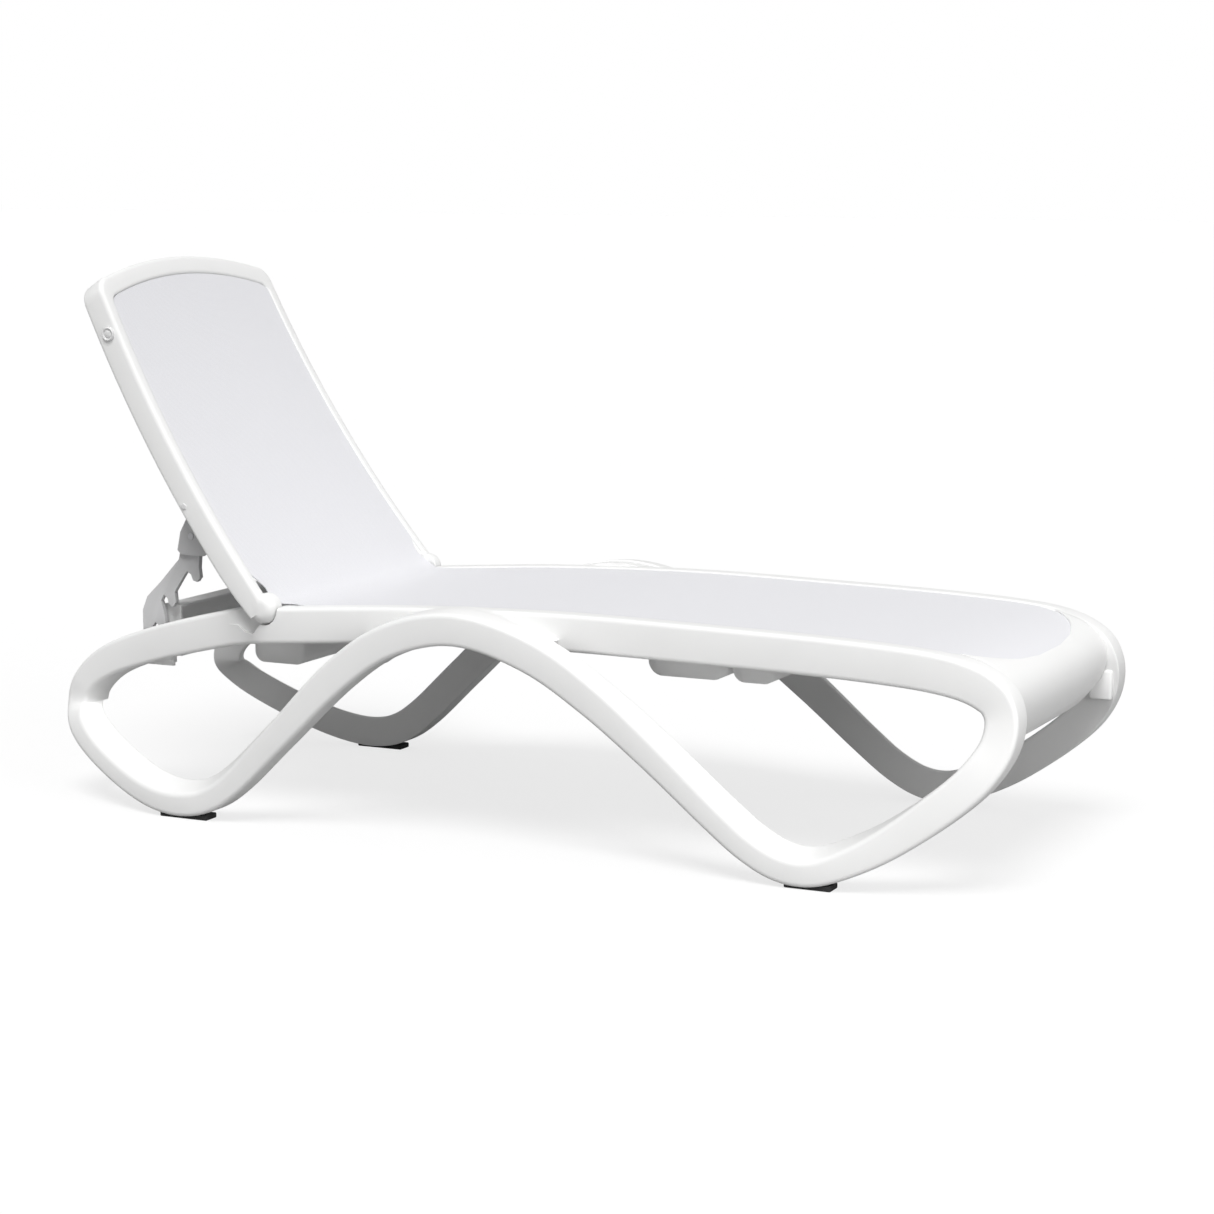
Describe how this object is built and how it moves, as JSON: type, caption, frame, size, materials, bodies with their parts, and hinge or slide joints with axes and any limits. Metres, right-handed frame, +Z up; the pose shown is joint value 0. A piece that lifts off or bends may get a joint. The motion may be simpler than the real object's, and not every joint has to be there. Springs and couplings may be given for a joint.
{
  "type": "reclining sun lounger",
  "caption": "Stackable reclining sun lounger with wave-shaped moulded side frames, sling seat and sling backrest that folds down on toothed prop arms.",
  "frame": {"origin": "on the floor under the middle of the lounger: centre of the overall box, bottom face", "axes": "+X along the lounger towards the foot end, +Y towards the user's left, +Z up"},
  "size_m": [1.72, 0.7006, 0.9203],
  "materials": {
    "resin_white": "satin moulded resin with a fine grain",
    "sling": "coated mesh sling cloth",
    "prop_grey": "satin moulded resin",
    "cap_grey": "satin moulded resin",
    "foot_pad": "matte",
    "rod": "drawn rod",
    "pin": "stainless"
  },
  "bodies": {
    "base": {"leg_frame_right": "resin_white", "leg_frame_left": "resin_white", "pad_head_right": "foot_pad", "pad_head_left": "foot_pad", "pad_foot_right": "foot_pad", "pad_foot_left": "foot_pad", "foot_panel": "resin_white", "foot_lug_right": "resin_white", "foot_lug_left": "resin_white", "hinge_crossbeam": "resin_white", "mid_crossbeam": "resin_white", "front_crossbeam": "resin_white", "rear_crossbar": "resin_white", "catch_rod": "rod", "hinge_pin_right": "pin", "hinge_pin_left": "pin", "seat_sling": "sling"},
    "backrest": {"back_frame": "resin_white", "back_sling": "sling", "side_cap_right": "cap_grey", "side_cap_left": "cap_grey", "crossbar_screws": "pin", "prop_bracket_right": "prop_grey", "prop_bracket_left": "prop_grey"},
    "prop": {"prop_arm_right": "prop_grey", "prop_arm_left": "prop_grey", "prop_rod": "rod"}
  },
  "joints": [
    {"name": "backrest_recline", "type": "hinge", "parent": "base", "child": "backrest", "pos_m": [-0.44, 0, 0.354], "axis": [0, -1, 0], "range_deg": [0, 50]},
    {"name": "prop_swing", "type": "hinge", "parent": "backrest", "child": "prop", "pos_m": [-0.63184, 0, 0.45478], "axis": [0, 1, 0], "range_deg": [0, 110]}
  ],
  "couplings": [
    {"joint": "prop_swing", "follows": "backrest_recline", "ratio": 2.2}
  ]
}
